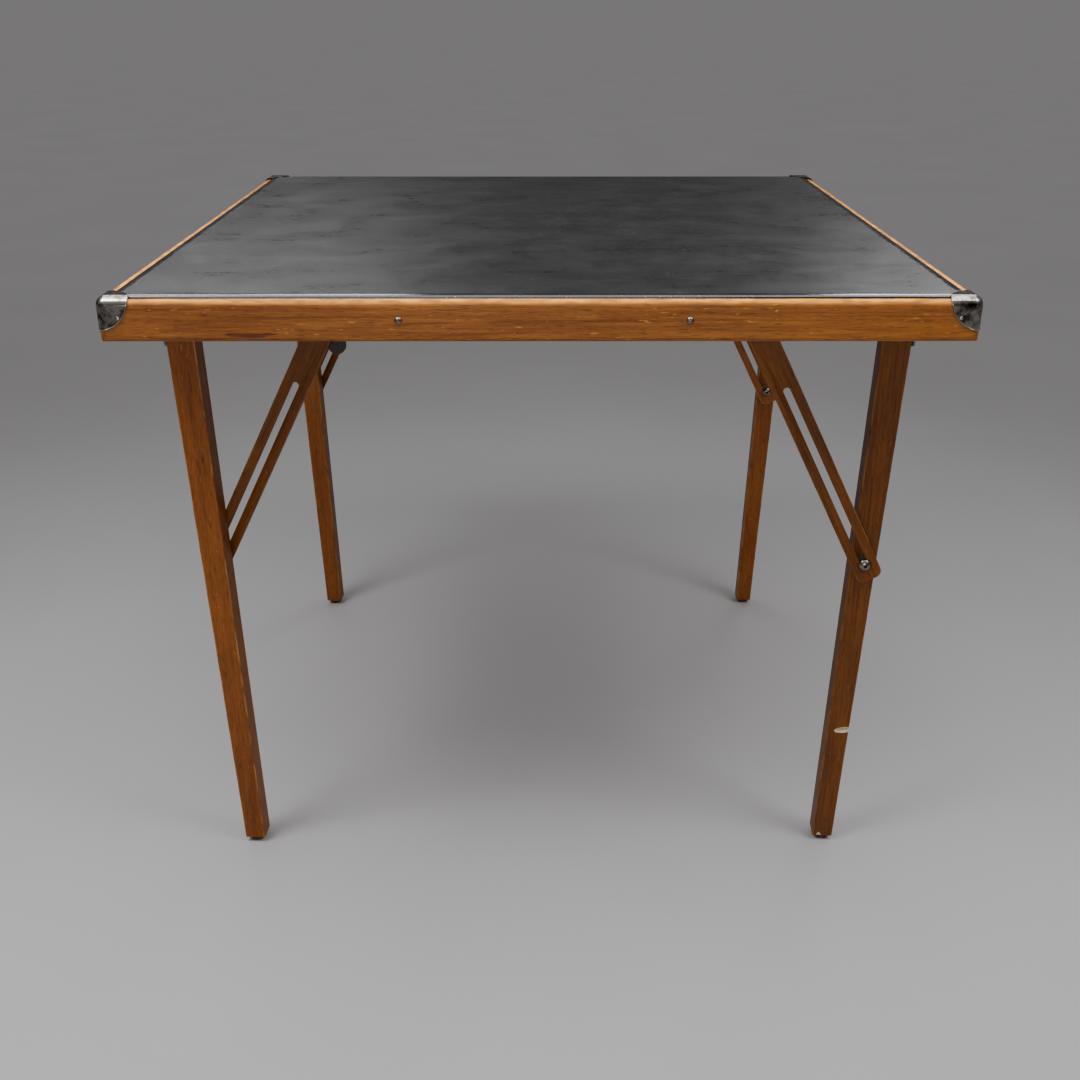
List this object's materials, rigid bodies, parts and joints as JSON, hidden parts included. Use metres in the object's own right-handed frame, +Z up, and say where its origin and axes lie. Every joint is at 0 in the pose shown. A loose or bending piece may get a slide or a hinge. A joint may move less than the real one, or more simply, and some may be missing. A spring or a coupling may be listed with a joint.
{
  "type": "folding card table",
  "caption": "Square folding card table: black leathercloth top in a wooden frame with metal corner caps, tapered folding legs and slotted wooden braces.",
  "frame": {"origin": "on the floor under the middle of the top", "axes": "+Z up, -Y towards the front rail that the picture shows, +X to the viewer's right"},
  "size_m": [0.8668, 0.8688, 0.7118],
  "materials": {
    "leathercloth": "semi-gloss coated cloth",
    "rail_wood": "varnished, worn at the edges",
    "leg_wood": "varnished, darker and redder than the rails",
    "brace_wood": "varnished, worn at the edges",
    "hidden_wood": "bare",
    "nickel": "dulled nickel plate",
    "steel": "dull plated steel",
    "bracket_steel": "dull pressed steel",
    "dark_steel": "blackened",
    "glide": "dark reddish brown"
  },
  "bodies": {
    "tabletop": {"top_board": "hidden_wood", "top_cover": "leathercloth", "rail_front": "rail_wood", "rail_right": "rail_wood", "rail_back": "rail_wood", "rail_left": "rail_wood", "corner_cap_front_left": "nickel", "corner_cap_front_right": "nickel", "corner_cap_back_right": "nickel", "corner_cap_back_left": "nickel", "cap_nails": "nickel", "batten_left": "hidden_wood", "batten_right": "hidden_wood", "corner_blocks": "hidden_wood", "rail_screws": "nickel", "bracket_screws": "steel", "hanger_screws": "steel", "leg_pivot_bolts": "steel", "brace_pivot_bolts": "steel", "leg_bracket_front_left": "bracket_steel", "hinge_block_front_left": "hidden_wood", "brace_hanger_front_left": "dark_steel", "leg_bracket_front_right": "bracket_steel", "hinge_block_front_right": "hidden_wood", "brace_hanger_front_right": "dark_steel", "leg_bracket_back_left": "bracket_steel", "hinge_block_back_left": "hidden_wood", "brace_hanger_back_left": "dark_steel", "leg_bracket_back_right": "bracket_steel", "hinge_block_back_right": "hidden_wood", "brace_hanger_back_right": "dark_steel"},
    "front_left_leg": {"leg_front_left": "leg_wood", "glide_front_left": "glide"},
    "front_left_brace": {"brace_front_left": "brace_wood"},
    "front_left_slider": {"slot_screw_front_left": "steel", "slot_washer_front_left": "steel"},
    "front_right_leg": {"leg_front_right": "leg_wood", "glide_front_right": "glide"},
    "front_right_brace": {"brace_front_right": "brace_wood"},
    "front_right_slider": {"slot_screw_front_right": "steel", "slot_washer_front_right": "steel"},
    "back_left_leg": {"leg_back_left": "leg_wood", "glide_back_left": "glide"},
    "back_left_brace": {"brace_back_left": "brace_wood"},
    "back_left_slider": {"slot_screw_back_left": "steel", "slot_washer_back_left": "steel"},
    "back_right_leg": {"leg_back_right": "leg_wood", "glide_back_right": "glide"},
    "back_right_brace": {"brace_back_right": "brace_wood"},
    "back_right_slider": {"slot_screw_back_right": "steel", "slot_washer_back_right": "steel"}
  },
  "joints": [
    {"name": "front_left_leg_fold", "type": "hinge", "parent": "tabletop", "child": "front_left_leg", "pos_m": [-0.379, -0.331, 0.682], "axis": [-0.0615, -0.9981, 0], "range_deg": [0, 88.15]},
    {"name": "front_left_brace_swing", "type": "hinge", "parent": "tabletop", "child": "front_left_brace", "pos_m": [-0.21821, -0.32317, 0.682], "axis": [-0.0615, -0.9981, 0], "range_deg": [0, 117.05]},
    {"name": "front_left_screw_slide", "type": "slide", "parent": "front_left_brace", "child": "front_left_slider", "axis": [0.4537, -0.0279, 0.8907], "range_m": [0, 0.19604]},
    {"name": "front_right_leg_fold", "type": "hinge", "parent": "tabletop", "child": "front_right_leg", "pos_m": [0.379, -0.331, 0.682], "axis": [0.0615, 0.9981, 0], "range_deg": [0, 88.15]},
    {"name": "front_right_brace_swing", "type": "hinge", "parent": "tabletop", "child": "front_right_brace", "pos_m": [0.21821, -0.33883, 0.682], "axis": [0.0615, 0.9981, 0], "range_deg": [0, 117.05]},
    {"name": "front_right_screw_slide", "type": "slide", "parent": "front_right_brace", "child": "front_right_slider", "axis": [-0.4537, 0.0279, 0.8907], "range_m": [0, 0.19604]},
    {"name": "back_left_leg_fold", "type": "hinge", "parent": "tabletop", "child": "back_left_leg", "pos_m": [-0.379, 0.331, 0.682], "axis": [-0.0615, -0.9981, 0], "range_deg": [0, 88.15]},
    {"name": "back_left_brace_swing", "type": "hinge", "parent": "tabletop", "child": "back_left_brace", "pos_m": [-0.21821, 0.33883, 0.682], "axis": [-0.0615, -0.9981, 0], "range_deg": [0, 117.05]},
    {"name": "back_left_screw_slide", "type": "slide", "parent": "back_left_brace", "child": "back_left_slider", "axis": [0.4537, -0.0279, 0.8907], "range_m": [0, 0.19604]},
    {"name": "back_right_leg_fold", "type": "hinge", "parent": "tabletop", "child": "back_right_leg", "pos_m": [0.379, 0.331, 0.682], "axis": [0.0615, 0.9981, 0], "range_deg": [0, 88.15]},
    {"name": "back_right_brace_swing", "type": "hinge", "parent": "tabletop", "child": "back_right_brace", "pos_m": [0.21821, 0.32317, 0.682], "axis": [0.0615, 0.9981, 0], "range_deg": [0, 117.05]},
    {"name": "back_right_screw_slide", "type": "slide", "parent": "back_right_brace", "child": "back_right_slider", "axis": [-0.4537, 0.0279, 0.8907], "range_m": [0, 0.19604]}
  ],
  "couplings": [
    {"joint": "front_left_brace_swing", "follows": "front_left_leg_fold", "ratio": 1.3277},
    {"joint": "front_left_screw_slide", "follows": "front_left_leg_fold", "m_per_rad": 0.12741},
    {"joint": "front_right_brace_swing", "follows": "front_right_leg_fold", "ratio": 1.3277},
    {"joint": "front_right_screw_slide", "follows": "front_right_leg_fold", "m_per_rad": 0.12741},
    {"joint": "back_left_brace_swing", "follows": "back_left_leg_fold", "ratio": 1.3277},
    {"joint": "back_left_screw_slide", "follows": "back_left_leg_fold", "m_per_rad": 0.12741},
    {"joint": "back_right_brace_swing", "follows": "back_right_leg_fold", "ratio": 1.3277},
    {"joint": "back_right_screw_slide", "follows": "back_right_leg_fold", "m_per_rad": 0.12741}
  ]
}
